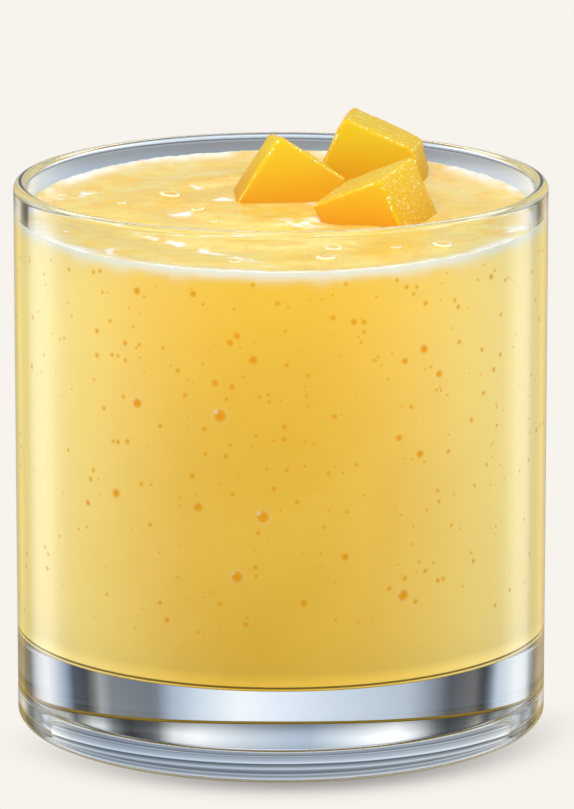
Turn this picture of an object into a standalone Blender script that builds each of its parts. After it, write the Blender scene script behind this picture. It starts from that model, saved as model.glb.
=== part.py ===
"""Mango lassi in its glass: a straight tumbler with a thick base, the drink and three mango chunks.

Metres, +Z up. The origin is the middle of the glass's foot, on the surface that it stands on. The
side that the photograph shows faces -Y.
"""

import math
from collections import namedtuple

import bmesh
import bpy
import numpy as np
from mathutils import Euler, Vector

MM = 0.001
GAP = 0.3 * MM  # between pieces that lie against each other
MERGE = 0.01 * MM  # points closer than this are one
SHARP_TURNED = 40  # degrees: on turned pieces a steeper bend shows as an edge
SHARP_CUT = 50

# The tumbler
OUTER_RADIUS = 42.0 * MM
HEIGHT = 86.6 * MM
WALL = 2.2 * MM
BASE_THICKNESS = 14.6 * MM
FOOT_CORNER = 1.8 * MM  # radius at the outer edge of the base
FLOOR_CORNER = 2.5 * MM  # radius where the inner floor meets the wall
FOOT_INNER_RADIUS = 36.5 * MM  # the foot is a flat ring outside this radius
RECESS_DEPTH = 4.3 * MM  # of the underside inside the foot ring
RECESS_SHOULDER = 0.5 * MM  # how far in from the ring the recess reaches its depth
RECESS_DOME = 0.3 * MM  # how much deeper it is in the middle
GLASS_STEPS = 96
CORNER_POINTS = 6
RIM_POINTS = 9
RECESS_POINTS = 7

# The drink
DRINK_RADIUS = OUTER_RADIUS - WALL - GAP
DRINK_BOTTOM = BASE_THICKNESS + GAP
LEVEL = 81.6 * MM  # at the middle
SLOPE = 0.045  # the thick drink lies higher at the back
CLIMB = 0.45 * MM  # how far it clings up the glass
CLIMB_WIDTH = 1.8 * MM
FOLD_HEIGHT = 0.28 * MM
FOLD_PITCH = 13.0 * MM
TOP_RINGS = 19
DRINK_STEPS = 72
DRINK_CORNER_POINTS = 5

# The mango chunks: size across, deep and high, middle, turn about X, Y and Z, and how far the
# lower edge of the right-hand cut stands out past the upper one
Chunk = namedtuple("Chunk", "size middle turn flare")
CHUNKS = {
    "mango_cube_left": Chunk((13.1, 10.5, 13.0), (0.9, 11.6, 82.7), (-9.5, 34.4, 3.6), 0.0),
    "mango_cube_back": Chunk((12.5, 12.0, 12.6), (13.9, 25.1, 84.6), (-1.6, 23.7, -8.3), 9.0),
    "mango_cube_front": Chunk((13.1, 13.4, 13.0), (15.4, -3.4, 81.2), (7.8, -23.1, -27.4), 0.0),
}
CHUNK_EDGE = 0.8 * MM  # radius of the soft cut edges
CHUNK_BULGE = 0.35 * MM  # how far a cut face is crowned in its middle
CHUNK_CUTS = 5
OUTER_ROW = 1.5  # the outermost row of the cut cube lies at 2/3 and moves out to the rounded edge
FACE_EDGE_ANGLE = 45  # degrees: a chunk's faces meet at more than this


def clear_scene():
    for obj in list(bpy.data.objects):
        bpy.data.objects.remove(obj, do_unlink=True)


def new_collection(name):
    collection = bpy.data.collections.new(name)
    bpy.context.scene.collection.children.link(collection)
    return collection


def material(name, color, roughness, transmission=0.0, subsurface=0.0):
    """A Principled BSDF with the part's colour, in linear RGB."""
    made = bpy.data.materials.new(name)
    made.use_nodes = True
    shader = made.node_tree.nodes["Principled BSDF"]
    shader.inputs["Base Color"].default_value = (*color, 1.0)
    shader.inputs["Roughness"].default_value = roughness
    shader.inputs["Metallic"].default_value = 0.0
    shader.inputs["Transmission Weight"].default_value = transmission
    shader.inputs["Subsurface Weight"].default_value = subsurface
    return made


def add_object(name, mesh, collection, finish=None):
    obj = bpy.data.objects.new(name, mesh)
    collection.objects.link(obj)
    if finish:
        mesh.materials.append(finish)
    return obj


def arc(middle, radius, start, end, count):
    """Points (r, z) on an arc, with its angles in degrees from +r towards +z."""
    angles = np.radians(np.linspace(start, end, count))
    return [(middle[0] + radius * math.cos(a), middle[1] + radius * math.sin(a)) for a in angles]


def turned(name, profile, steps, collection, finish=None):
    """A solid of revolution: the (r, z) profile turned about Z by a Screw modifier."""
    mesh = bpy.data.meshes.new(name)
    points = [(r, 0.0, z) for r, z in profile]
    mesh.from_pydata(points, [(i, i + 1) for i in range(len(points) - 1)], [])
    obj = add_object(name, mesh, collection, finish)
    screw = obj.modifiers.new("turn", "SCREW")
    screw.axis = "Z"
    screw.steps = steps
    screw.render_steps = steps
    screw.use_merge_vertices = True
    screw.merge_threshold = MERGE
    return obj


def baked(obj):
    """The object's mesh with its modifiers applied and its doubled points merged."""
    bpy.context.view_layer.update()
    graph = bpy.context.evaluated_depsgraph_get()
    mesh = bpy.data.meshes.new_from_object(obj.evaluated_get(graph))
    shape = bmesh.new()
    shape.from_mesh(mesh)
    bmesh.ops.remove_doubles(shape, verts=shape.verts, dist=MERGE)
    shape.to_mesh(mesh)
    shape.free()
    return mesh


def shade_round(mesh, sharp_degrees):
    mesh.shade_smooth()
    mesh.set_sharp_from_angle(angle=math.radians(sharp_degrees))


def recess_points():
    """The underside from the foot ring inwards: a quarter ellipse up, then a low dome (a parabola)."""
    flat = FOOT_INNER_RADIUS - RECESS_SHOULDER
    angles = np.linspace(0, math.pi / 2, RECESS_POINTS)
    shoulder = [(flat + RECESS_SHOULDER * math.cos(a), RECESS_DEPTH * math.sin(a)) for a in angles]
    shares = np.linspace(1, 0, RECESS_POINTS)[1:]
    dome = [(flat * s, RECESS_DEPTH + RECESS_DOME * (1 - s * s)) for s in shares]
    return shoulder + dome


def tumbler_profile():
    """Inner floor, inner wall, rounded rim, outer wall and underside, from axis to axis."""
    inner = OUTER_RADIUS - WALL
    rim = WALL / 2
    points = [(0.0, BASE_THICKNESS), (inner / 2, BASE_THICKNESS)]
    points += arc((inner - FLOOR_CORNER, BASE_THICKNESS + FLOOR_CORNER), FLOOR_CORNER, -90, 0, CORNER_POINTS)
    points += arc((OUTER_RADIUS - rim, HEIGHT - rim), rim, 180, 0, RIM_POINTS)
    points += arc((OUTER_RADIUS - FOOT_CORNER, FOOT_CORNER), FOOT_CORNER, 0, -90, CORNER_POINTS)
    return points + recess_points()


def make_tumbler(collection):
    finish = material("clear_glass", (0.93, 0.96, 0.97), 0.02, transmission=1.0)
    obj = turned("tumbler", tumbler_profile(), GLASS_STEPS, collection, finish)
    obj.data = baked(obj)
    obj.modifiers.clear()
    shade_round(obj.data, SHARP_TURNED)


def surface_height(x, y):
    """Level of the drink: a slope up to the back, low spiral folds, and a climb up the glass."""
    radius = np.hypot(x, y)
    share = radius / DRINK_RADIUS
    turn = 2 * np.pi * radius / FOLD_PITCH + np.arctan2(y, x)
    folds = FOLD_HEIGHT * np.sin(turn) * np.sin(np.pi * share)
    climb = CLIMB * np.exp(-(((DRINK_RADIUS - radius) / CLIMB_WIDTH) ** 2))
    return LEVEL + SLOPE * y + folds + climb


def drink_profile():
    """Top rings from the axis outwards, the side, and a bottom that follows the glass's corner."""
    corner = FLOOR_CORNER
    top = [(DRINK_RADIUS * i / TOP_RINGS, LEVEL) for i in range(TOP_RINGS)]
    edge = [(DRINK_RADIUS - CLIMB_WIDTH / 2, LEVEL), (DRINK_RADIUS, LEVEL)]
    bottom = arc((DRINK_RADIUS - corner, DRINK_BOTTOM + corner), corner, 0, -90, DRINK_CORNER_POINTS)
    return top + edge + bottom + [(DRINK_RADIUS / 2, DRINK_BOTTOM), (0.0, DRINK_BOTTOM)]


def make_drink(collection, cutters):
    finish = material("mango_lassi", (0.86, 0.53, 0.13), 0.25, subsurface=0.4)
    obj = turned("lassi", drink_profile(), DRINK_STEPS, collection, finish)
    obj.data = baked(obj)
    obj.modifiers.clear()
    points = np.empty(len(obj.data.vertices) * 3)
    obj.data.vertices.foreach_get("co", points)
    points = points.reshape(-1, 3)
    top = points[:, 2] > LEVEL - MERGE
    points[top, 2] = surface_height(points[top, 0], points[top, 1])
    obj.data.vertices.foreach_set("co", points.ravel())
    obj.data.update()
    shade_round(obj.data, SHARP_TURNED)
    for cutter in cutters:
        cut = obj.modifiers.new("pocket_" + cutter.name, "BOOLEAN")
        cut.operation = "DIFFERENCE"
        cut.object = cutter


def chunk_mesh(name, chunk, grow):
    """A cut piece of mango: crowned faces, soft edges, and a right-hand cut that slants outwards."""
    shape = bmesh.new()
    bmesh.ops.create_cube(shape, size=1.0)
    bmesh.ops.subdivide_edges(shape, edges=shape.edges[:], cuts=CHUNK_CUTS, use_grid_fill=True)
    half = Vector(chunk.size) * MM / 2
    flat = CHUNK_EDGE / min(half)
    for vert in shape.verts:
        unit = vert.co * 2
        crown = [max(0.0, 1 - v * v) for v in unit]
        for axis in range(3):
            if abs(unit[axis]) == 1:
                across = crown[axis - 1] * crown[axis - 2]
                vert.co[axis] = math.copysign(half[axis] + grow + CHUNK_BULGE * across, unit[axis])
            else:
                # The outermost rows lie where the rounded edge begins
                share = math.copysign(min(abs(unit[axis]) * OUTER_ROW, 1) * (1 - flat), unit[axis])
                vert.co[axis] = (half[axis] + grow) * share
    for vert in shape.verts:
        if vert.co.x > 0:
            depth = (half.z - vert.co.z) / (2 * half.z)
            vert.co.x += chunk.flare * MM * depth * vert.co.x / half.x
    edges = [e for e in shape.edges if len(e.link_faces) == 2 and e.calc_face_angle() > math.radians(FACE_EDGE_ANGLE)]
    bmesh.ops.bevel(
        shape, geom=edges, offset=CHUNK_EDGE, offset_type="OFFSET", segments=2, profile=0.5, affect="EDGES"
    )
    bmesh.ops.remove_doubles(shape, verts=shape.verts, dist=MERGE)
    mesh = bpy.data.meshes.new(name)
    shape.to_mesh(mesh)
    shape.free()
    shade_round(mesh, SHARP_CUT)
    return mesh


def make_chunk(name, chunk, collection, finish=None, grow=0.0):
    obj = add_object(name, chunk_mesh(name, chunk, grow), collection, finish)
    obj.location = Vector(chunk.middle) * MM
    obj.rotation_euler = Euler([math.radians(a) for a in chunk.turn], "XYZ")
    return obj


def main():
    clear_scene()
    parts = new_collection("mango_lassi")
    cutters = new_collection("pockets")
    flesh = material("mango_flesh", (0.93, 0.47, 0.02), 0.35, subsurface=0.3)
    pockets = []
    for name, chunk in CHUNKS.items():
        make_chunk(name, chunk, parts, flesh)
        pocket = make_chunk(name + "_pocket", chunk, cutters, grow=GAP)
        pocket.hide_render = True
        pocket.display_type = "WIRE"
        pockets.append(pocket)
    make_tumbler(parts)
    make_drink(parts, pockets)


main()
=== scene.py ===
"""The looks of a mango lassi in its glass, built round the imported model.

Metres, +Z up, the glass's axis on Z and the photographed side towards -Y. Every shape is worked out
as a numpy array from a few sizes in millimetres.
"""

import math

import bmesh
import bpy
import numpy as np
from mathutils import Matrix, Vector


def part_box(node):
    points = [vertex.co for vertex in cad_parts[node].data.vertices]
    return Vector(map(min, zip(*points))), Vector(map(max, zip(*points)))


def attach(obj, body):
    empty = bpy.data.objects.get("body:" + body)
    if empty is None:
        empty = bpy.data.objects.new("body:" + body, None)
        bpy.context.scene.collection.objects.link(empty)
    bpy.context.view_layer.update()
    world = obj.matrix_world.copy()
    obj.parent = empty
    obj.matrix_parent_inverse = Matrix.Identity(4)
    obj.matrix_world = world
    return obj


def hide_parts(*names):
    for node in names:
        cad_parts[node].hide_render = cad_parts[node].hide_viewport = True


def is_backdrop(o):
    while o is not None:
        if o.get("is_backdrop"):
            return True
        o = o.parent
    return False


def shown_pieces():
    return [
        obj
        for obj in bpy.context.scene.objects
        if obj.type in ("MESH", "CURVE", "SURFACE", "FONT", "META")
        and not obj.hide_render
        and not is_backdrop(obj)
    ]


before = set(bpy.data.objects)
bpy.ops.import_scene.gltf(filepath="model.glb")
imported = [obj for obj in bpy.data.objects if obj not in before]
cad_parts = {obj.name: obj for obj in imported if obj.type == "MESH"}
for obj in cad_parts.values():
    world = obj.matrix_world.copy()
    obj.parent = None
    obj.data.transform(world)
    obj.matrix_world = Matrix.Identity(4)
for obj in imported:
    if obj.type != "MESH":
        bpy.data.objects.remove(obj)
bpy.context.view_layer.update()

MM = 0.001

# The glass, as it was turned in the solids
GLASS_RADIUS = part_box("tumbler")[1].x
GLASS_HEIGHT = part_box("tumbler")[1].z
WALL = 2.2 * MM
BASE = 14.6 * MM
FOOT_CORNER = 1.8 * MM
FLOOR_CORNER = 2.5 * MM
FOOT_INNER_RADIUS = 36.5 * MM
RECESS_DEPTH = 4.3 * MM
RECESS_SHOULDER = 0.5 * MM  # how far in from the foot ring the recess reaches its depth
RECESS_DOME = 0.3 * MM
INNER_RADIUS = GLASS_RADIUS - WALL
GLASS_STEPS = 256
GLASS_INDEX = 1.52
DRINK_INDEX = 1.35

# The drink
DRINK_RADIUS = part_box("lassi")[1].x
REACH = 0.1 * MM  # how far the drink's side stands in the glass, so that no air shows between them
SIDE_RADIUS = INNER_RADIUS + REACH
FLOOR_GAP = 0.2 * MM  # over the glass's floor, whose wetted face mirrors slanting light
BEAD = 0.15 * MM  # radius of the drink's lowest edge, at the front
BEAD_BEHIND = 0.32 * MM  # and at the back, where it shows as a golden line through the base
PAINTED_SHADE_LINE = BASE + 0.5 * MM  # height of a painted shade line along it, where no light would reach
LEVEL = 81.6 * MM
SLOPE = 0.045
CLIMB = 0.45 * MM
CLIMB_WIDTH = 1.8 * MM
FOLD_HEIGHT = 0.28 * MM
FOLD_PITCH = 13.0 * MM
# Height and pitch of its relief
LUMPS = (0.10 * MM, 7.0 * MM)
RIDGES = (0.035 * MM, 3.4 * MM)
GRAIN = (0.03 * MM, 1.1 * MM)
FOAM_RELIEF = (0.12 * MM, 0.9 * MM)
DRINK_STEPS = 512
TOP_ROWS = 128
SIDE_ROWS = 46
FOAM_BAND = 1.3 * MM  # how far the foam at the drink's edge reaches down the glass
FOAM_RING = 2.4 * MM  # and in over the top
PAINTED_GLOW_DEPTH = 12.0 * MM  # how far down the side a painted glow keeps the drink a warmer yellow, in place of light from above

# The largest bubbles, by their place in the photograph, in pixels of its 574 by 809 frame, with their
# diameter in mm: those that lie against the glass, and those that float
PHOTO_SIZE = (574, 809)
SIDE_BUBBLES = (
    (220, 416, 2.1), (263, 517, 2.0), (237, 577, 1.9), (403, 595, 1.9), (137, 403, 1.7), (116, 493, 1.5),
    (198, 507, 1.5), (253, 360, 1.5), (424, 349, 1.4), (420, 454, 1.3), (399, 438, 1.1), (405, 361, 1.1),
    (439, 374, 1.2), (345, 557, 1.2), (215, 383, 1.1), (232, 387, 1.0), (230, 343, 1.1), (237, 336, 1.1),
    (193, 294, 1.1), (137, 291, 1.2), (125, 343, 0.9), (97, 331, 0.9), (304, 603, 1.1), (333, 318, 0.9),
    (354, 322, 1.1), (364, 322, 0.9), (88, 503, 1.0), (167, 620, 0.9),
)
TOP_BUBBLES = (
    (170, 195, 2.4), (440, 245, 2.2), (333, 246, 2.0), (325, 258, 2.2), (198, 209, 1.6), (236, 262, 1.4),
    (122, 204, 1.2), (395, 247, 1.3), (214, 221, 1.0),
)
BUBBLE_PATCH = 1.5  # how far the drink is modelled round a bubble, in radii
SIDE_RELIEF = 0.4  # how high a bubble's lip stands at the glass, against bubble_grid's height
TOP_RELIEF = 6.0  # and on top
DOTS = 760  # small bubbles all round the side
DOT_SIZES = (0.35, 0.95)  # mm across
DOT_MARGIN = 3.0 * MM  # without dots, over the base and under the level
# Flecks of foam and painted highlights on the top, by their place in the photograph: half length and
# half width in mm, and the turn in degrees seen from above
FOAM_AND_HIGHLIGHT_FLECKS = (
    (181, 212, 1.4, 1.9, 0), (304, 222, 2.9, 2.4, 0), (204, 249, 11.0, 0.8, -46), (114, 251, 1.0, 1.6, 0),
    (72, 196, 3.4, 1.3, 32), (80, 178, 2.6, 1.2, 40), (321, 202, 1.8, 1.2, 30), (224, 201, 1.4, 0.9, 0),
    (196, 187, 0.8, 1.2, 0), (65, 231, 0.7, 1.0, 0), (470, 165, 6.5, 1.3, -38), (214, 249, 1.6, 0.9, -46),
    (514, 229, 2.2, 1.8, 0), (517, 189, 4.0, 1.2, -62),
)

# The chunks: size, middle and turn as in the solids, the outward slant of the right-hand cut, and
# which faces were cut rough (-1, 0 or 1 on X, Y and Z of the chunk)
CHUNKS = {
    "mango_cube_left": dict(size=(13.1, 10.5, 13.0), middle=(0.9, 11.6, 82.7), turn=(-9.5, 34.4, 3.6),
                            flare=0.0, rough=((0, 0, 1),)),
    "mango_cube_back": dict(size=(12.5, 12.0, 12.6), middle=(13.9, 25.1, 84.6), turn=(-1.6, 23.7, -8.3),
                            flare=9.0, rough=((0, 0, 1), (1, 0, 0))),
    "mango_cube_front": dict(size=(13.1, 13.4, 13.0), middle=(15.4, -3.4, 81.2), turn=(7.8, -23.1, -27.4),
                             flare=0.0, rough=((1, 0, 0), (0, 0, 1))),
}
CHUNK_EDGE = 0.8 * MM
CHUNK_BULGE = 0.35 * MM
CHUNK_POINTS = 72  # along each side of a face
CHUNK_GRAIN = (0.08 * MM, 0.9 * MM)  # height and pitch, where it is torn
CHUNK_WAVES = (0.10 * MM, 3.5 * MM)  # and everywhere
BURST_CELL = MM / 3
FLESH_HEIGHTS = (81.0 * MM, 91.0 * MM)  # painted shade and light: from the deep orange near the drink to the yellow at the top

# The camera that took the photograph, fitted to the glass's outline
CAMERA_PLACE = (0.0, -0.9727, 0.27505)
CAMERA_DOWN = 13.005  # degrees
CAMERA_YAW = 0.0565
FOCAL_SHARE = 6307.5 / 809  # focal length over the frame's long side
SENSOR = 36.0

# The painted shadow on the paper: its strength, how far it reaches, and its turn from the front to the right
SHADE = 0.6
SHADE_REACH = 6.2 * MM
SHADE_TURN = 9.0

MIX_A, MIX_B, MIX_OUT = 6, 7, 2  # a Mix node's colour sockets


def linear(text, alpha=1.0):
    """An sRGB hex colour as linear RGBA."""
    parts = [int(text[i : i + 2], 16) / 255 for i in (1, 3, 5)]
    return (*[c / 12.92 if c <= 0.04045 else ((c + 0.055) / 1.055) ** 2.4 for c in parts], alpha)


def add_node(tree, kind, inputs=None, **settings):
    """A node of this kind with its settings. An input is a value or another node's output."""
    node = tree.nodes.new(kind)
    for name, value in settings.items():
        setattr(node, name, value)
    for name, value in (inputs or {}).items():
        if isinstance(value, bpy.types.NodeSocket):
            tree.links.new(value, node.inputs[name])
        else:
            node.inputs[name].default_value = value
    return node


def new_material(name):
    """An empty node material and its tree with a Principled BSDF linked to the output."""
    made = bpy.data.materials.new(name)
    made.use_nodes = True
    tree = made.node_tree
    return made, tree, tree.nodes["Principled BSDF"]


def piece(name, points, quads, finish, replaced=None, marks=None):
    """Puts points and quads in a mesh, with marks as numbers at its points, and makes it ride."""
    mesh = bpy.data.meshes.new(name)
    mesh.from_pydata(np.reshape(points, (-1, 3)).tolist(), [], np.asarray(quads).tolist())
    for mark, values in (marks or {}).items():
        layer = mesh.attributes.new(mark, "FLOAT", "POINT")
        layer.data.foreach_set("value", np.ravel(values).astype(np.float32))
    tidy_mesh(mesh)
    mesh.materials.append(finish)
    obj = bpy.data.objects.new(name, mesh)
    bpy.context.scene.collection.objects.link(obj)
    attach(obj, "root")
    if replaced:
        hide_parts(replaced)
    return obj


def tidy_mesh(mesh):
    """Welds points that coincide, drops faces that closed up, and has every face point outwards."""
    shape = bmesh.new()
    shape.from_mesh(mesh)
    bmesh.ops.remove_doubles(shape, verts=shape.verts, dist=1e-7)
    bmesh.ops.recalc_face_normals(shape, faces=shape.faces)
    shape.to_mesh(mesh)
    shape.free()
    mesh.shade_smooth()


def grid_quads(rows, columns, wrap=True, first=0):
    """Corner indices of a grid's quads, row by row; wrap joins the last column to the first."""
    i, j = np.meshgrid(np.arange(rows - 1), np.arange(columns if wrap else columns - 1), indexing="ij")
    k = (j + 1) % columns
    quads = np.stack([i * columns + j, i * columns + k, (i + 1) * columns + k, (i + 1) * columns + j], -1)
    return quads.reshape(-1, 4) + first


def turned(profile, steps):
    """Points of a profile of (r, z) carried round Z: (r cos a, r sin a, z)."""
    angle = np.linspace(0, 2 * np.pi, steps, endpoint=False)
    r, z = np.asarray(profile, float).T
    return np.stack([np.outer(r, np.cos(angle)), np.outer(r, np.sin(angle)), np.outer(z, np.ones(steps))], -1)


def arc(middle, radius, start, end, count):
    """(r, z) points on an arc, its angles in degrees from +r towards +z."""
    a = np.radians(np.linspace(start, end, count))
    return np.stack([middle[0] + radius * np.cos(a), middle[1] + radius * np.sin(a)], -1)


def stretch(start, end, count):
    """(r, z) points on a straight stretch without its ends, close together near both ends."""
    share = (1 - np.cos(np.linspace(0, np.pi, count + 2)[1:-1])) / 2
    return np.asarray(start) + np.outer(share, np.subtract(end, start))


def lattice_noise(points, pitch, seed):
    """Smooth noise in -1..1: random values on a cubic lattice of this pitch, blended with 3t^2 - 2t^3."""
    size = 32
    values = np.random.default_rng(seed).uniform(-1, 1, (size, size, size))
    place = points / pitch
    cell = np.floor(place).astype(int)
    t = place - cell
    t = t * t * (3 - 2 * t)
    total = 0.0
    for corner in np.ndindex(2, 2, 2):
        share = np.prod(np.where(corner, t, 1 - t), -1)
        at = (cell + corner) % size
        total = total + share * values[at[..., 0], at[..., 1], at[..., 2]]
    return total


def recess_profile():
    """(r, z) on the underside: a quarter ellipse up from the foot ring, then a parabola of little height."""
    a = np.linspace(0, np.pi / 2, 16)
    flat = FOOT_INNER_RADIUS - RECESS_SHOULDER
    shoulder = np.stack([flat + RECESS_SHOULDER * np.cos(a), RECESS_DEPTH * np.sin(a)], -1)
    share = np.linspace(1, 0, 16)[1:]
    dome = np.stack([flat * share, RECESS_DEPTH + RECESS_DOME * (1 - share**2)], -1)
    return np.concatenate([shoulder, dome])


def glass_profile():
    """Inner floor, inner wall, fire-polished rim, outer wall, foot and underside, as arcs and stretches."""
    rim = WALL / 2
    floor = arc((INNER_RADIUS - FLOOR_CORNER, BASE + FLOOR_CORNER), FLOOR_CORNER, -90, 0, 14)
    top = arc((GLASS_RADIUS - rim, GLASS_HEIGHT - rim), rim, 180, 0, 25)
    foot = arc((GLASS_RADIUS - FOOT_CORNER, FOOT_CORNER), FOOT_CORNER, 0, -90, 14)
    under = recess_profile()
    return np.concatenate(
        [[(0, BASE)], stretch((0, BASE), floor[0], 14), floor, stretch(floor[-1], top[0], 40), top,
         stretch(top[-1], foot[0], 40), foot, stretch(foot[-1], under[0], 6), under]
    )


def make_glass():
    points = turned(glass_profile(), GLASS_STEPS)
    dry = clear_glass("soda_lime_glass", GLASS_INDEX)
    obj = piece("glass_tumbler", points, grid_quads(*points.shape[:2]), dry, "tumbler")
    obj.data.materials.append(clear_glass("soda_lime_glass_against_drink", GLASS_INDEX / DRINK_INDEX))
    x, y, z = face_middles(obj)
    wetted = (np.hypot(x, y) < INNER_RADIUS + 0.01 * MM) & (z > BASE - 0.01 * MM) & (z < LEVEL - 4 * MM)
    obj.data.polygons.foreach_set("material_index", wetted.astype(np.int32))
    # The softboxes light the drink as if the glass were not there, which spares much noise
    obj.visible_shadow = False


def face_middles(obj):
    """x, y and z of the middle of each of an object's faces."""
    middles = np.empty(len(obj.data.polygons) * 3)
    obj.data.polygons.foreach_get("center", middles)
    return middles.reshape(-1, 3).T


def clear_glass(name, index):
    """Soda-lime glass, machine pressed and fire polished: clear, faintly grey-blue in the thick base.

    Where the drink wets it, its index counts against the drink's: slanting light is mirrored there and
    the rest goes on into the drink.
    """
    made, tree, shader = new_material(name)
    shader.inputs["Base Color"].default_value = linear("#fafdfe")
    shader.inputs["Roughness"].default_value = 0.0
    shader.inputs["IOR"].default_value = index
    shader.inputs["Transmission Weight"].default_value = 1.0
    # The mould leaves slow waves of a few centimetres in the wall
    place = add_node(tree, "ShaderNodeTexCoord")
    waves = add_node(tree, "ShaderNodeTexNoise", {"Vector": place.outputs["Object"],
                                                  "Scale": 1 / (22.2 * MM), "Detail": 1.0})
    bump = add_node(tree, "ShaderNodeBump", {"Height": waves.outputs["Fac"], "Strength": 0.15,
                                             "Distance": 0.2 * MM})
    tree.links.new(bump.outputs["Normal"], shader.inputs["Normal"])
    return made


def surface_height(x, y):
    """Level of the drink: a slope up to the back, low spiral folds, and a climb up the glass."""
    radius = np.hypot(x, y)
    share = radius / DRINK_RADIUS
    turn = 2 * np.pi * radius / FOLD_PITCH + np.arctan2(y, x)
    folds = FOLD_HEIGHT * np.sin(turn) * np.sin(np.pi * np.clip(share, 0, 1))
    climb = CLIMB * np.exp(-(((DRINK_RADIUS - radius) / CLIMB_WIDTH) ** 2))
    return LEVEL + SLOPE * y + folds + climb


def foam_on_top(x, y):
    """Foam gathers in a ring at the glass and in flecks, some of them painted highlights: Gaussian shares
    that noise breaks up.
    """
    gap = np.clip(SIDE_RADIUS - np.hypot(x, y), 0, None)
    flat = np.stack([x, y, np.zeros_like(x)], -1)
    patches = 0.75 + 0.9 * lattice_noise(flat, 5 * MM, 11) + 0.4 * lattice_noise(flat, 1.6 * MM, 12)
    ring = np.exp(-((gap / FOAM_RING) ** 2)) * np.clip(patches, 0, 1.3)
    broken = np.clip(0.55 + 1.3 * lattice_noise(flat, 1.3 * MM, 13), 0, 1.2)
    # Flecks of foam, some of them painted highlights
    for px, py, long, wide, turn in FOAM_AND_HIGHLIGHT_FLECKS:
        dx, dy = x - top_place(px, py)[0], y - top_place(px, py)[1]
        c, s = math.cos(math.radians(turn)), math.sin(math.radians(turn))
        u, v = (dx * c + dy * s) / (long * MM), (dy * c - dx * s) / (wide * MM)
        ring = np.maximum(ring, 1.7 * np.exp(-(u**2) - v**2) * broken)
    return np.clip(ring, 0, 1)


def drink_surface(x, y):
    """surface_height with the fine relief of a blended drink: lumps, ridged wrinkles and rough foam."""
    flat = np.stack([x, y, np.zeros_like(x)], -1)
    lumps = LUMPS[0] * lattice_noise(flat, LUMPS[1], 3)
    bent = flat + 0.6 * MM * lattice_noise(flat, 4 * MM, 8)[..., None]
    ridges = RIDGES[0] * (1 - 2.5 * np.abs(lattice_noise(bent, RIDGES[1], 5)))
    grain = GRAIN[0] * lattice_noise(flat, GRAIN[1], 6)
    foam = FOAM_RELIEF[0] * foam_on_top(x, y) * lattice_noise(flat, FOAM_RELIEF[1], 7)
    inside = np.clip((DRINK_RADIUS - np.hypot(x, y)) / (2 * MM), 0, 1)
    return surface_height(x, y) + (lumps + ridges + grain) * inside + foam


def drink_points():
    """Rows of points from the middle of the top, over the edge, down the side and under to the middle."""
    angle = np.linspace(0, 2 * np.pi, DRINK_STEPS, endpoint=False)
    radii = SIDE_RADIUS * np.linspace(0, 1, TOP_ROWS) ** 0.8
    x, y = np.outer(radii, np.cos(angle)), np.outer(radii, np.sin(angle))
    top = np.stack([x, y, drink_surface(x, y)], -1)
    # The bead turns from the side, out into the glass and back under the drink
    behind = (1 + np.sin(angle)) / 2
    bead = BEAD + (BEAD_BEHIND - BEAD) * behind
    a = np.radians(np.linspace(90, -100, 9))[:, None]
    out = SIDE_RADIUS + bead * np.cos(a)
    bead_rows = np.stack([out * np.cos(angle), out * np.sin(angle), BASE + BEAD + bead * np.sin(a)], -1)
    inner = (INNER_RADIUS - FLOOR_CORNER, BASE + FLOOR_CORNER)
    bend = arc(inner, FLOOR_CORNER - FLOOR_GAP, -40, -90, 9)
    floor = stretch(bend[-1], (0, bend[-1][1]), 4)
    under = turned(np.concatenate([bend, floor, [(0, bend[-1][1])]]), DRINK_STEPS)
    # Down the side the rows close up from the wavy edge to the bead, closest under the edge
    share = np.linspace(0, 1, SIDE_ROWS)[1:-1, None, None] ** 1.7
    side = top[-1] * (1 - share) + bead_rows[0] * share
    return top, side, np.concatenate([bead_rows, under])


def painted_side_sheen(points):
    """Painted sheen: 1.45 |x / r|^2.5, so that the drink's side is painted lemon and then cream to both
    sides.
    """
    return np.clip(1.45 * np.abs(points[..., 0] / SIDE_RADIUS) ** 2.5, 0, 1)


def make_drink(top_finish, side_finish):
    top, side, rest = drink_points()
    points = np.concatenate([top, side, rest])
    drop = top[-1, :, 2] - side[..., 2]
    waver = 1 + 0.35 * lattice_noise(side, 3 * MM, 21)
    nothing = np.zeros(rest.shape[:2])
    foam = [foam_on_top(top[..., 0], top[..., 1]), np.exp(-((drop / (FOAM_BAND * waver)) ** 2)), nothing]
    # Painted glow: the side is warmer yellow near the top, in place of light from above
    glow = [np.zeros(top.shape[:2]), np.exp(-drop / PAINTED_GLOW_DEPTH), nothing]
    # Painted sheen: the side and underside turn pale to the left and right
    pale = [np.zeros(top.shape[:2]), painted_side_sheen(side), painted_side_sheen(rest)]
    obj = piece("lassi_drink", points, grid_quads(*points.shape[:2]), top_finish, "lassi",
                dict(foam=np.concatenate(foam), glow=np.concatenate(glow), pale=np.concatenate(pale)))
    obj.data.materials.append(side_finish)
    x, y, z = face_middles(obj)
    behind_glass = (np.hypot(x, y) > INNER_RADIUS - 0.01 * MM) | (z < LEVEL / 2)
    obj.data.polygons.foreach_set("material_index", behind_glass.astype(np.int32))


def sight_line(px, py):
    """Unit direction of the camera's ray through a pixel of the photograph."""
    down, yaw = math.radians(CAMERA_DOWN), math.radians(CAMERA_YAW)
    ahead = np.array([math.sin(yaw) * math.cos(down), math.cos(yaw) * math.cos(down), -math.sin(down)])
    right = np.array([math.cos(yaw), -math.sin(yaw), 0.0])
    way = ahead * FOCAL_SHARE * PHOTO_SIZE[1] + right * (px - PHOTO_SIZE[0] / 2)
    way += np.cross(right, ahead) * (PHOTO_SIZE[1] / 2 - py)
    return way / np.linalg.norm(way)


def meet_round(start, way, radius):
    """Where a ray first meets the upright cylinder of this radius: the lesser root of a quadratic."""
    a, b = way[:2] @ way[:2], start[:2] @ way[:2]
    c = start[:2] @ start[:2] - radius**2
    return start + way * (-b - math.sqrt(b * b - a * c)) / a


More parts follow.
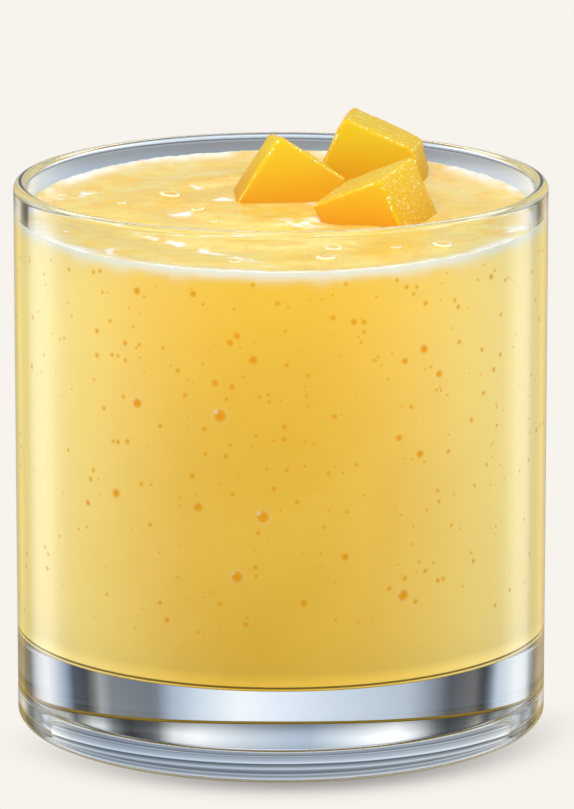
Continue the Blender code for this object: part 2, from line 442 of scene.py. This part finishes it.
def side_place(px, py):
    """Angle and height on the drink's side of what a pixel shows, by Snell's law in the outer wall."""
    way = sight_line(px, py)
    hit = meet_round(np.array(CAMERA_PLACE), way, GLASS_RADIUS)
    normal = np.array([hit[0], hit[1], 0]) / GLASS_RADIUS
    ratio = 1 / GLASS_INDEX
    cos_in = -way @ normal
    cos_out = math.sqrt(1 - ratio**2 * (1 - cos_in**2))
    hit = meet_round(hit, ratio * way + (ratio * cos_in - cos_out) * normal, SIDE_RADIUS)
    return math.atan2(hit[1], hit[0]), hit[2]


def top_place(px, py):
    """x and y on the drink's sloping top of what a pixel shows."""
    way, start = sight_line(px, py), np.array(CAMERA_PLACE)
    t = (LEVEL + SLOPE * start[1] - start[2]) / (way[2] - SLOPE * way[1])
    return (start + t * way)[:2]


def bubble_grid(rings, steps):
    """One bubble of radius 1 with the drink round it: (u, v), height, pit and halo of its points.

    With rho the distance from the middle, the height is a plateau with a Gaussian lip at rho = 1 that
    falls off outside, the pit a smooth step down at 0.85 that is painted shade in the hollow, and the halo a
    Gaussian ring at 1.15 that is a painted highlight ring.
    """
    rho = np.concatenate([np.linspace(0, BUBBLE_PATCH, rings), [BUBBLE_PATCH, 0]])
    height = 0.03 + 0.02 * np.exp(-(((rho - 1.0) / 0.3) ** 2)) - 0.03 * np.clip(rho - 1, 0, 1)
    height[-2:] = -0.15  # closed behind, inside the drink
    turn = np.linspace(0, 2 * np.pi, steps, endpoint=False)
    plan = np.stack([np.outer(rho, np.cos(turn)), np.outer(rho, np.sin(turn))], -1)
    pit = 1 / (1 + np.exp((rho - 0.85) / 0.14))
    halo = np.exp(-(((rho - 1.15) / 0.2) ** 2))
    return plan, height[:, None], pit[:, None] * np.ones(steps), halo[:, None] * np.ones(steps)


def make_bubbles(top_finish, side_finish):
    """Air bubbles: at the glass they wrap round the drink's side, on top they follow its level."""
    made = np.random.default_rng(7)
    side = np.array([(*side_place(px, py), size) for px, py, size in SIDE_BUBBLES])
    small = DOT_SIZES[0] + (DOT_SIZES[1] - DOT_SIZES[0]) * made.uniform(0, 1, DOTS) ** 1.9
    heights = BASE + DOT_MARGIN + (LEVEL - BASE - 2 * DOT_MARGIN) * made.uniform(0, 1, DOTS) ** 0.7
    dots = np.stack([made.uniform(0, 2 * np.pi, DOTS), heights, small], -1)
    top = np.array([(*top_place(px, py), size) for px, py, size in TOP_BUBBLES])
    batches = [("glass_bubbles", side, 9, 20, True, 1.0), ("glass_bubbles_small", dots, 5, 9, True, 1.0),
               ("floating_bubbles", top, 11, 24, False, 0.35)]
    for name, places, rings, steps, on_side, depth in batches:
        plan, height, pit, halo = bubble_grid(rings, steps)
        radius = (places[:, 2] * MM / 2)[:, None, None]
        u, v, rise = plan[..., 0] * radius, plan[..., 1] * radius, height * radius
        first, second = places[:, 0, None, None], places[:, 1, None, None]
        if on_side:
            angle = first + u / SIDE_RADIUS
            out = SIDE_RADIUS + SIDE_RELIEF * rise
            points = np.stack([out * np.cos(angle), out * np.sin(angle), second + v], -1)
            # The halo is a painted highlight ring, faint at the glass
            highlight_ring_share = np.clip(places[:, 2, None, None] - 1.5, 0, 0.08)
            # Painted glow, as on the drink's side
            glow = np.exp(-(LEVEL + SLOPE * points[..., 1] - points[..., 2]) / PAINTED_GLOW_DEPTH)
        else:
            x, y = first + u, second + v
            points = np.stack([x, y, drink_surface(x, y) + TOP_RELIEF * rise], -1)
            # and strong on top
            highlight_ring_share = 0.7
            glow = np.zeros(x.shape)
        # A painted glint up left on the larger ones at the glass, where the softbox would glint
        painted_spark = np.exp(-((plan[..., 0] + 0.6) ** 2 + (plan[..., 1] - 0.55) ** 2) / 0.22**2)
        painted_spark = painted_spark * np.clip(places[:, 2, None, None] - 1.3, 0, 0.8) * on_side
        # Painted sheen, as on the drink's side
        pale = painted_side_sheen(points) * on_side
        quads = grid_quads(rings + 2, steps)
        quads = np.concatenate([quads + i * (rings + 2) * steps for i in range(len(places))])
        # The pit is painted shade in the bubble's hollow, stronger for larger bubbles
        pit_shade = depth * np.clip(0.5 + 0.4 * places[:, 2, None, None], 0, 1.0)
        marks = dict(pit=pit * pit_shade, foam=halo * highlight_ring_share + painted_spark, glow=glow, pale=pale)
        obj = piece(name, points, quads, side_finish if on_side else top_finish, None, marks)
        # A sharp outer edge keeps the patch's shading flush with the drink's
        obj.data.set_sharp_from_angle(angle=math.radians(50))


def drink_colour(tree, first, second, pitch, distortion, froth_and_glint):
    """Streaks of two colours, this far apart, under the marks: painted glow, painted sheen, painted shade in
    bubbles' pits, and foam with painted highlights.
    """
    place = add_node(tree, "ShaderNodeTexCoord")
    where = place.outputs["Object"]
    streaks = add_node(tree, "ShaderNodeTexNoise", {"Vector": where, "Scale": 1 / pitch, "Detail": 3.0,
                                                    "Distortion": distortion})
    spread = add_node(tree, "ShaderNodeMapRange", {"Value": streaks.outputs["Fac"], "From Min": 0.36,
                                                   "From Max": 0.64})
    tone = add_node(tree, "ShaderNodeMix", {0: spread.outputs[0], MIX_A: linear(first),
                                            MIX_B: linear(second)}, data_type="RGBA")
    # Painted glow, painted sheen, painted shade in bubble pits, then foam with painted highlights
    for mark, colour in (("glow", "#eec344"), ("pale", "#f6e59a"), ("pit", "#dd9c1b"), ("foam", froth_and_glint)):
        share = add_node(tree, "ShaderNodeAttribute", attribute_name=mark)
        tone = add_node(tree, "ShaderNodeMix", {0: share.outputs["Fac"], MIX_A: tone.outputs[MIX_OUT],
                                                MIX_B: linear(colour)}, data_type="RGBA")
    return tone.outputs[MIX_OUT], where


def lassi_top():
    """Mango pulp blended with yoghurt: opaque, milky, wet; light goes a few millimetres into it."""
    made, tree, shader = new_material("mango_yoghurt_foam")
    # The blender left streaks of pulp about a centimetre apart, here and there with an orange thread
    colour, where = drink_colour(tree, "#ebc552", "#ead478", 10.53 * MM, 1.6, "#fbf8ee")
    threads = add_node(tree, "ShaderNodeTexNoise", {"Vector": where, "Scale": 1 / (7.69 * MM), "Detail": 1.5,
                                                    "Distortion": 1.2})
    off = add_node(tree, "ShaderNodeMath", {0: threads.outputs["Fac"], 1: 0.56}, operation="SUBTRACT")
    away = add_node(tree, "ShaderNodeMath", {0: off.outputs[0]}, operation="ABSOLUTE")
    # Foam hides the threads
    foam = add_node(tree, "ShaderNodeAttribute", attribute_name="foam")
    bare = add_node(tree, "ShaderNodeMapRange", {"Value": foam.outputs["Fac"], "From Max": 0.5,
                                                 "To Min": 0.34, "To Max": 0.0})
    thread = add_node(tree, "ShaderNodeMapRange", {"Value": away.outputs[0], "From Max": 0.05,
                                                   "To Min": bare.outputs[0], "To Max": 0.0})
    pulp = add_node(tree, "ShaderNodeMix", {0: thread.outputs[0], MIX_A: colour, MIX_B: linear("#e9a83c")},
                    data_type="RGBA")
    tree.links.new(pulp.outputs[MIX_OUT], shader.inputs["Base Color"])
    shader.inputs["Roughness"].default_value = 0.28
    shader.inputs["IOR"].default_value = DRINK_INDEX
    shader.inputs["Subsurface Weight"].default_value = 0.5
    shader.inputs["Subsurface Radius"].default_value = (1.0, 0.7, 0.25)
    shader.inputs["Subsurface Scale"].default_value = 1.2 * MM
    return made


def lassi_side():
    """The same drink where it lies against the glass: matt, with a painted shade line at its lower edge."""
    made, tree, shader = new_material("mango_yoghurt_behind_glass")
    colour, where = drink_colour(tree, "#dcb645", "#e1bd4d", 25.0 * MM, 0.6, "#e3e9e1")
    # Painted shade: a dark brown line along the drink's lower edge
    height = add_node(tree, "ShaderNodeSeparateXYZ", {0: where})
    above = add_node(tree, "ShaderNodeMath", {0: height.outputs["Z"], 1: PAINTED_SHADE_LINE}, operation="SUBTRACT")
    away = add_node(tree, "ShaderNodeMath", {0: above.outputs[0]}, operation="ABSOLUTE")
    shade = add_node(tree, "ShaderNodeMapRange", {"Value": away.outputs[0], "From Min": 0.1 * MM,
                                                  "From Max": 0.25 * MM, "To Min": 0.85, "To Max": 0.0})
    edged = add_node(tree, "ShaderNodeMix", {0: shade.outputs[0], MIX_A: colour, MIX_B: linear("#3c2e10")},
                     data_type="RGBA")
    tree.links.new(edged.outputs[MIX_OUT], shader.inputs["Base Color"])
    shader.inputs["Roughness"].default_value = 0.6
    shader.inputs["Specular IOR Level"].default_value = 0.0
    return made


def turn_matrix(degrees):
    """Rotation about X, then Y, then Z."""
    a, b, c = np.radians(degrees)
    x = np.array([[1, 0, 0], [0, np.cos(a), -np.sin(a)], [0, np.sin(a), np.cos(a)]])
    y = np.array([[np.cos(b), 0, np.sin(b)], [0, 1, 0], [-np.sin(b), 0, np.cos(b)]])
    z = np.array([[np.cos(c), -np.sin(c), 0], [np.sin(c), np.cos(c), 0], [0, 0, 1]])
    return z @ y @ x


def cube_grid(count):
    """Points on the six faces of the cube -1..1 and the quads between them, rows closer near the edges."""
    line = np.sin(np.linspace(-np.pi / 2, np.pi / 2, count))
    u, v = np.meshgrid(line, line, indexing="ij")
    one = np.ones_like(u)
    points, quads = [], []
    for axis in range(3):
        for side in (-1, 1):
            face = np.stack(np.roll([one * side, u, v], axis, 0), -1)
            quads.append(grid_quads(count, count, wrap=False, first=len(points) * count * count))
            points.append(face.reshape(-1, 3))
    return np.concatenate(points), np.concatenate(quads)


def chunk_points(unit, size, middle, turn, flare, rough):
    """A cut cube: faces crowned by (1 - u^2)(1 - v^2), round edges, a slanted right cut and torn cuts."""
    half = np.array(size) * MM / 2
    solid = unit * half
    crown = np.clip(1 - unit**2, 0, None)
    across = np.stack([crown[:, 1] * crown[:, 2], crown[:, 0] * crown[:, 2], crown[:, 0] * crown[:, 1]], -1)
    on_face = np.abs(unit) > 0.9999
    solid = solid + np.where(on_face, np.sign(unit) * CHUNK_BULGE * across, 0)
    core = np.clip(solid, -(half - CHUNK_EDGE), half - CHUNK_EDGE)
    out = solid - core
    reach = np.linalg.norm(out, axis=1, keepdims=True)
    depth = np.max(np.abs(out), axis=1, keepdims=True)
    solid = core + out / np.maximum(reach, 1e-9) * depth
    normal = out / np.maximum(reach, 1e-9)
    # Painted glints: burst cells are painted white on the torn faces and in a row along every edge
    steep = np.sort(np.abs(normal), axis=1)
    torn = np.clip(steep[:, 1] / np.maximum(steep[:, 2], 1e-9) * 2 - 0.6, 0, 1) * 1.55
    for face in rough:
        torn = np.maximum(torn, np.clip(normal @ np.array(face, float) * 2 - 0.8, 0, 1))
    seed = int(abs(middle[1]))
    grain = CHUNK_GRAIN[0] * lattice_noise(solid, CHUNK_GRAIN[1], seed)
    waves = CHUNK_WAVES[0] * lattice_noise(solid, CHUNK_WAVES[1], seed + 2)
    solid = solid + normal * (waves + np.clip(torn, 0, 1) * grain - CHUNK_GRAIN[0])[:, None]
    right = np.clip(solid[:, 0], 0, None)
    solid[:, 0] += flare * MM * (half[2] - solid[:, 2]) / (2 * half[2]) * right / half[0]
    return solid @ turn_matrix(turn).T + np.array(middle) * MM, torn


def make_chunks():
    unit, quads = cube_grid(CHUNK_POINTS)
    finish = mango_flesh()
    for name, chunk in CHUNKS.items():
        points, torn = chunk_points(unit, **chunk)
        obj = piece(name.replace("mango_cube", "cut_mango"), points, quads, finish, name, dict(torn=torn))


def mango_flesh():
    """Ripe mango, cut with a knife: translucent and juicy, painted deeper orange low down near the drink, as
    shade, and yellow at the top, as light.

    Where the knife tore it and along every edge, burst cells of a few tenths of a millimetre are painted
    nearly white, as glints.
    """
    made, tree, shader = new_material("ripe_mango_flesh")
    place = add_node(tree, "ShaderNodeTexCoord")
    where = place.outputs["Object"]
    # Painted shade and light: deeper orange low down, yellow towards the top
    height = add_node(tree, "ShaderNodeSeparateXYZ", {0: where})
    depth = add_node(tree, "ShaderNodeMapRange", {"Value": height.outputs["Z"], "From Min": FLESH_HEIGHTS[0],
                                                  "From Max": FLESH_HEIGHTS[1]})
    tone = add_node(tree, "ShaderNodeMix", {0: depth.outputs[0], MIX_A: linear("#d28d1e"),
                                            MIX_B: linear("#d4b723")}, data_type="RGBA")
    torn = add_node(tree, "ShaderNodeAttribute", attribute_name="torn")
    # Painted light: the torn faces and the thin edges are painted yellower, as if light came through them
    painted_translucence = add_node(tree, "ShaderNodeMath", {0: torn.outputs["Fac"], 1: 0.5}, operation="MULTIPLY")
    tone = add_node(tree, "ShaderNodeMix", {0: painted_translucence.outputs[0], MIX_A: tone.outputs[MIX_OUT],
                                            MIX_B: linear("#d8b010")}, data_type="RGBA")
    # Painted glints: noise cells on the torn faces and edges turn near white
    cells = add_node(tree, "ShaderNodeTexNoise", {"Vector": where, "Scale": 1 / BURST_CELL, "Detail": 1.0})
    burst = add_node(tree, "ShaderNodeMath", {0: torn.outputs["Fac"], 1: 0.17, 2: cells.outputs["Fac"]},
                     operation="MULTIPLY_ADD")
    painted_glint = add_node(tree, "ShaderNodeMapRange", {"Value": burst.outputs[0], "From Min": 0.835,
                                                  "From Max": 0.87})
    flesh = add_node(tree, "ShaderNodeMix", {0: painted_glint.outputs[0], MIX_A: tone.outputs[MIX_OUT],
                                             MIX_B: linear("#fff6d2")}, data_type="RGBA")
    tree.links.new(flesh.outputs[MIX_OUT], shader.inputs["Base Color"])
    shader.inputs["Roughness"].default_value = 0.45
    shader.inputs["IOR"].default_value = 1.38
    shader.inputs["Specular IOR Level"].default_value = 0.3
    shader.inputs["Subsurface Weight"].default_value = 0.35
    shader.inputs["Subsurface Radius"].default_value = (1.0, 0.5, 0.1)
    shader.inputs["Subsurface Scale"].default_value = 1.2 * MM
    return made


def make_floor():
    """A plain pale sheet that the glass stands on, lit evenly from everywhere but for a painted shadow in
    front of the glass.
    """
    size = 6.0
    mesh = bpy.data.meshes.new("studio_floor")
    corners = np.array([(-size, -size, 0), (size, -size, 0), (size, size, 0), (-size, size, 0)])
    mesh.from_pydata(corners.tolist(), [], [(0, 1, 2, 3)])
    obj = bpy.data.objects.new("studio_floor", mesh)
    bpy.context.scene.collection.objects.link(obj)
    mesh.materials.append(lit_paper())
    obj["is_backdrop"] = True
    # The glass bends and mirrors the studio and not the paper, and the light table shines through it
    obj.visible_transmission = False
    obj.visible_glossy = False
    obj.visible_shadow = False


def lit_paper():
    """White paper lit through from below: even, but for a painted shadow of the glass in front of it.

    The painted shadow is SHADE exp(-(d / SHADE_REACH)^2) max(cos a, 0)^1.25, with d the distance from the
    foot and a the angle to the shaded side, a little right of the front.
    """
    made, tree, shader = new_material("backlit_paper")
    place = add_node(tree, "ShaderNodeTexCoord")
    where = place.outputs["Object"]
    radius = add_node(tree, "ShaderNodeVectorMath", {0: where}, operation="LENGTH").outputs["Value"]
    gap = add_node(tree, "ShaderNodeMath", {0: radius, 1: GLASS_RADIUS - FOOT_CORNER}, operation="SUBTRACT")
    share = add_node(tree, "ShaderNodeMath", {0: gap.outputs[0], 1: SHADE_REACH}, operation="DIVIDE")
    square = add_node(tree, "ShaderNodeMath", {0: share.outputs[0], 1: 2.0}, operation="POWER")
    less = add_node(tree, "ShaderNodeMath", {0: square.outputs[0], 1: -1.0}, operation="MULTIPLY")
    fall = add_node(tree, "ShaderNodeMath", {0: less.outputs[0]}, operation="EXPONENT")
    turn = math.radians(SHADE_TURN)
    along = add_node(tree, "ShaderNodeVectorMath", {0: where, 1: (math.sin(turn), -math.cos(turn), 0)},
                     operation="DOT_PRODUCT")
    cosine = add_node(tree, "ShaderNodeMath", {0: along.outputs["Value"], 1: radius}, operation="DIVIDE")
    facing = add_node(tree, "ShaderNodeMath", {0: cosine.outputs[0], 1: 0.0}, operation="MAXIMUM")
    curve = add_node(tree, "ShaderNodeMath", {0: facing.outputs[0], 1: 1.25}, operation="POWER")
    # Painted shadow: the share by which the paper's glow is dimmed
    shade = add_node(tree, "ShaderNodeMath", {0: fall.outputs[0], 1: curve.outputs[0]}, operation="MULTIPLY")
    lit = add_node(tree, "ShaderNodeMath", {0: shade.outputs[0], 1: -SHADE, 2: 1.0}, operation="MULTIPLY_ADD")
    shader.inputs["Base Color"].default_value = (0, 0, 0, 1)
    shader.inputs["Specular IOR Level"].default_value = 0.0
    shader.inputs["Emission Color"].default_value = linear("#f7f3ed")
    tree.links.new(lit.outputs[0], shader.inputs["Emission Strength"])
    return made


# What the glass sees of the studio, by the angle round Z from the far side, positive to the right, in
# linear radiance. Bent rays that leave upwards see a lit backdrop that fades outwards, a strip light on
# each side, the dark room beside them and, on the near side, its pale wall; those that leave downwards
# see the table. The stops of this and the next tables follow colours that were read from the photograph
# on the base, the rim and the sides and traced back through the glass; they were then rounded, and
# changed after trial renders
THROUGH_UP = (
    (-180, 0.62, 0.70, 0.80), (-112, 0.40, 0.45, 0.52), (-88, 0.05, 0.05, 0.05),
    (-67, 0.10, 0.10, 0.10), (-60, 0.75, 0.78, 0.80), (-53, 0.80, 0.85, 0.90),
    (-44.5, 0.60, 0.68, 0.78), (-41.5, 0.12, 0.16, 0.21), (-39, 0.02, 0.02, 0.02),
    (-36, 0.15, 0.15, 0.15), (-29, 0.08, 0.09, 0.11), (-20, 0.50, 0.57, 0.66), (-8, 0.66, 0.74, 0.84),
    (0, 0.84, 0.90, 1.00), (6, 0.98, 1.02, 1.04), (12, 0.70, 0.78, 0.88), (17, 0.42, 0.49, 0.60),
    (20, 0.17, 0.19, 0.22), (30, 0.22, 0.24, 0.26), (32, 0.40, 0.42, 0.45), (34, 0.20, 0.20, 0.19),
    (36, 0.05, 0.05, 0.06), (41, 0.05, 0.07, 0.10), (43, 0.22, 0.29, 0.40), (47, 0.50, 0.56, 0.66),
    (53, 0.80, 0.82, 0.85), (60, 0.55, 0.56, 0.58), (66, 0.10, 0.10, 0.10), (74, 0.02, 0.02, 0.02),
    (90, 0.05, 0.05, 0.05), (114, 0.40, 0.45, 0.52), (180, 0.62, 0.70, 0.80),
)
THROUGH_DOWN = (
    (-180, 0.80, 0.84, 0.88), (-67, 0.50, 0.46, 0.40), (-61, 0.85, 0.83, 0.80), (-55, 0.60, 0.58, 0.55),
    (-50, 0.25, 0.24, 0.20), (-45, 0.38, 0.38, 0.38), (-41, 0.05, 0.05, 0.05), (-38, 0.38, 0.36, 0.30),
    (-34, 0.10, 0.11, 0.11), (-29, 0.04, 0.04, 0.04), (-26, 0.20, 0.21, 0.22), (-22, 0.90, 0.94, 0.98),
    (-18, 1.50, 1.50, 1.50), (-14, 1.20, 1.22, 1.25), (-9, 0.80, 0.88, 0.96), (-4, 0.50, 0.60, 0.74),
    (0, 0.58, 0.67, 0.79), (5, 0.72, 0.79, 0.87), (13, 1.15, 1.17, 1.18), (17, 0.90, 0.92, 0.94),
    (20, 0.15, 0.16, 0.17), (26, 0.03, 0.03, 0.03), (30, 0.25, 0.26, 0.26), (32, 0.75, 0.78, 0.80),
    (35, 0.80, 0.80, 0.78), (38, 0.40, 0.40, 0.36), (41, 0.10, 0.10, 0.09), (44, 0.62, 0.60, 0.55),
    (53, 0.48, 0.46, 0.42), (61, 0.85, 0.83, 0.80), (75, 0.45, 0.40, 0.30), (180, 0.80, 0.84, 0.88),
)
# How bright the table is by the slope of the ray, which is the sine of its angle below the horizon:
# as the floor of the thick base mirrors it, and straight through the rim, the wall and the foot ring
TABLE = (
    (0.15, 0.50), (0.2, 0.60), (0.235, 0.35), (0.262, 0.60), (0.275, 0.62), (0.2785, 0.30),
    (0.28, 0.02), (0.2825, 0.02), (0.286, 0.20), (0.291, 0.28), (0.302, 0.60), (0.308, 0.82),
    (0.3125, 0.97), (0.3175, 0.93), (0.33, 0.70), (0.34, 0.60),
)
TABLE_PAST_WALL = (
    (0.15, 0.50), (0.16, 0.40), (0.169, 0.31), (0.1815, 0.30), (0.1843, 0.42), (0.1865, 0.55),
    (0.1895, 0.92), (0.1925, 0.90), (0.196, 0.38), (0.208, 0.60), (0.221, 0.68), (0.23, 0.90),
    (0.237, 1.25), (0.2395, 0.12), (0.243, 0.20), (0.25, 0.45), (0.256, 0.95), (0.262, 0.28),
    (0.31, 0.26), (0.36, 0.45), (0.45, 0.97), (0.57, 1.35), (0.66, 1.00), (0.7, 0.30),
)
# What its surfaces mirror, by angle: the strip lights, and golden light that tints the glass's edges
MIRRORED = (
    (-180, 0.06, 0.06, 0.07), (-110, 0.10, 0.10, 0.10), (-84, 0.20, 0.20, 0.19),
    (-74, 0.50, 0.50, 0.50), (-67, 1.20, 1.20, 1.20), (-62, 1.90, 1.90, 1.90), (-57, 2.15, 2.15, 2.15),
    (-51, 2.00, 2.00, 2.00), (-45, 1.20, 1.20, 1.20), (-39, 0.50, 0.45, 0.35), (-32, 0.60, 0.48, 0.20),
    (-26, 0.95, 0.74, 0.28), (-16, 0.60, 0.46, 0.18), (-8, 0.42, 0.45, 0.50), (8, 0.42, 0.45, 0.50),
    (16, 0.80, 0.58, 0.26), (26, 1.15, 0.88, 0.40), (34, 0.80, 0.64, 0.32), (41, 0.60, 0.60, 0.60),
    (46, 1.50, 1.50, 1.50), (52, 1.90, 1.90, 1.90), (57, 1.90, 1.90, 1.90), (62, 1.30, 1.30, 1.30),
    (69, 0.45, 0.45, 0.45), (78, 0.20, 0.20, 0.19), (110, 0.08, 0.08, 0.08), (180, 0.06, 0.06, 0.07),
)
# and, steeply overhead, by the sine of the height: what the rounded rim mirrors
OVERHEAD = (
    (0, 0.10), (0.5, 0.10), (0.56, 3.50), (0.68, 3.50), (0.72, 0.10), (0.9, 0.10), (0.95, 2.00),
    (1, 2.00),
)
AMBIENT = 0.42  # radiance of the room for what scatters it
SOFTBOX_AIM = 45.0 * MM  # the height that the softboxes face


def make_world():
    """Even white light on whatever scatters it, and the studio for what the glass bends or mirrors."""
    world = bpy.data.worlds.new("studio")
    world.use_nodes = True
    tree = world.node_tree
    tree.nodes.clear()
    path = add_node(tree, "ShaderNodeLightPath")
    place = add_node(tree, "ShaderNodeTexCoord")
    way = add_node(tree, "ShaderNodeSeparateXYZ", {0: place.outputs["Generated"]})
    round_z = add_node(tree, "ShaderNodeMath", {0: way.outputs["X"], 1: way.outputs["Y"]},
                       operation="ARCTAN2")
    share = add_node(tree, "ShaderNodeMath", {0: round_z.outputs[0], 1: 1 / math.tau, 2: 0.5},
                     operation="MULTIPLY_ADD")
    views = []
    for stops in (THROUGH_UP, THROUGH_DOWN, MIRRORED):
        ramp = add_node(tree, "ShaderNodeValToRGB", {0: share.outputs[0]})
        elements = ramp.color_ramp.elements
        for degrees, *_ in stops[1:-1]:
            elements.new(degrees / 360 + 0.5)
        elements[0].position = stops[0][0] / 360 + 0.5
        elements[-1].position = stops[-1][0] / 360 + 0.5
        for element, (_, *radiance) in zip(list(elements), stops):
            element.color = (*radiance, 1)
        views.append(ramp.outputs[0])
    drop = add_node(tree, "ShaderNodeMath", {0: way.outputs["Z"], 1: -1.0}, operation="MULTIPLY").outputs[0]
    by_height = []
    for stops, height in ((TABLE, drop), (TABLE_PAST_WALL, drop), (OVERHEAD, way.outputs["Z"])):
        # A ramp holds 256 steps, so it covers no more than the heights in use
        low, high = stops[0][0], stops[-1][0]
        fine = add_node(tree, "ShaderNodeMapRange", {"Value": height, "From Min": low, "From Max": high})
        ramp = add_node(tree, "ShaderNodeValToRGB", {0: fine.outputs[0]})
        for stop, _ in stops[1:-1]:
            ramp.color_ramp.elements.new((stop - low) / (high - low))
        for element, (_, light) in zip(list(ramp.color_ramp.elements), stops):
            element.color = (light, light, light, 1)
        by_height.append(ramp.outputs[0])
    # Rays straight through have crossed two surfaces, and the sky counts as one more
    crossed = add_node(tree, "ShaderNodeMath", {0: path.outputs["Ray Depth"], 1: 3.5}, operation="LESS_THAN")
    table = add_node(tree, "ShaderNodeMix", {0: crossed.outputs[0], MIX_A: by_height[0], MIX_B: by_height[1]},
                     data_type="RGBA")
    down = add_node(tree, "ShaderNodeMix", {0: 1.0, MIX_A: views[1], MIX_B: table.outputs[MIX_OUT]},
                    data_type="RGBA", blend_type="MULTIPLY")
    overhead = add_node(tree, "ShaderNodeMapRange", {"Value": way.outputs["Z"], "From Min": 0.38,
                                                     "From Max": 0.42})
    mirrored = add_node(tree, "ShaderNodeMix", {0: overhead.outputs[0], MIX_A: views[2], MIX_B: by_height[2]},
                        data_type="RGBA")
    rise = add_node(tree, "ShaderNodeMapRange", {"Value": way.outputs["Z"], "From Min": -0.1,
                                                 "From Max": 0.1})
    through = add_node(tree, "ShaderNodeMix", {0: rise.outputs[0], MIX_A: down.outputs[MIX_OUT],
                                               MIX_B: views[0]}, data_type="RGBA")
    glass_view = add_node(tree, "ShaderNodeMix", {0: path.outputs["Is Transmission Ray"],
                                                  MIX_A: mirrored.outputs[MIX_OUT],
                                                  MIX_B: through.outputs[MIX_OUT]}, data_type="RGBA")
    fresh = add_node(tree, "ShaderNodeMath", {0: path.outputs["Diffuse Depth"], 1: 0.5},
                     operation="LESS_THAN")
    seen = add_node(tree, "ShaderNodeMath", {0: path.outputs["Is Glossy Ray"], 1: fresh.outputs[0]},
                    operation="MULTIPLY")
    light = add_node(tree, "ShaderNodeMix", {0: seen.outputs[0], MIX_A: (AMBIENT, AMBIENT, AMBIENT, 1),
                                             MIX_B: glass_view.outputs[MIX_OUT]}, data_type="RGBA")
    sky = add_node(tree, "ShaderNodeBackground", {"Color": light.outputs[MIX_OUT], "Strength": 1.0})
    add_node(tree, "ShaderNodeOutputWorld", {"Surface": sky.outputs[0]})
    # Light is only gathered from it along scattered rays, which the glass bends as it should
    world.cycles.sampling_method = "NONE"
    bpy.context.scene.world = world


def softbox(name, azimuth, elevation, distance, width, height, glow, receivers):
    """An area light that faces the glass, its brightness as radiance. Azimuth 0 is the camera's side."""
    data = bpy.data.lights.new(name, "AREA")
    data.shape = "RECTANGLE"
    data.size, data.size_y = width, height
    data.energy = glow * math.pi * width * height
    obj = bpy.data.objects.new(name, data)
    a, e = math.radians(azimuth), math.radians(elevation)
    obj.location = (distance * math.sin(a) * math.cos(e), -distance * math.cos(a) * math.cos(e),
                    SOFTBOX_AIM + distance * math.sin(e))
    obj.rotation_euler = (math.radians(90 - elevation), 0, math.radians(azimuth))
    obj.visible_camera = False
    obj.visible_glossy = False
    obj.visible_transmission = False
    bpy.context.scene.collection.objects.link(obj)
    obj.light_linking.receiver_collection = receivers


def make_lights():
    lit = bpy.data.collections.new("lit_by_softboxes")
    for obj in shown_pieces():
        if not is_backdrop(obj):
            lit.objects.link(obj)
    softbox("front_softbox", -6, 42, 0.32, 0.20, 0.16, 9.3, lit)
    softbox("left_softbox", -84, 12, 0.55, 0.30, 0.40, 3.2, lit)
    softbox("right_softbox", 86, 12, 0.55, 0.26, 0.40, 3.6, lit)
    softbox("back_softbox", 168, 38, 0.50, 0.10, 0.08, 16.0, lit)
    softbox("far_softbox", 180, 0, 0.50, 0.50, 0.24, 3.4, lit)
    softbox("light_table", 0, -90, 0.12, 0.12, 0.12, 1.2, lit)


def make_camera():
    data = bpy.data.cameras.new("photo_camera")
    data.sensor_width = SENSOR
    data.lens = SENSOR * FOCAL_SHARE
    data.clip_start, data.clip_end = 0.05, 20.0
    obj = bpy.data.objects.new("photo_camera", data)
    obj.location = CAMERA_PLACE
    obj.rotation_euler = (math.radians(90 - CAMERA_DOWN), 0, math.radians(-CAMERA_YAW))
    bpy.context.scene.collection.objects.link(obj)
    bpy.context.scene.camera = obj


def main():
    make_camera()
    make_glass()
    top_finish, side_finish = lassi_top(), lassi_side()
    make_drink(top_finish, side_finish)
    make_bubbles(top_finish, side_finish)
    make_chunks()
    make_floor()
    make_world()
    make_lights()
    bpy.context.scene.view_settings.view_transform = "Standard"


main()
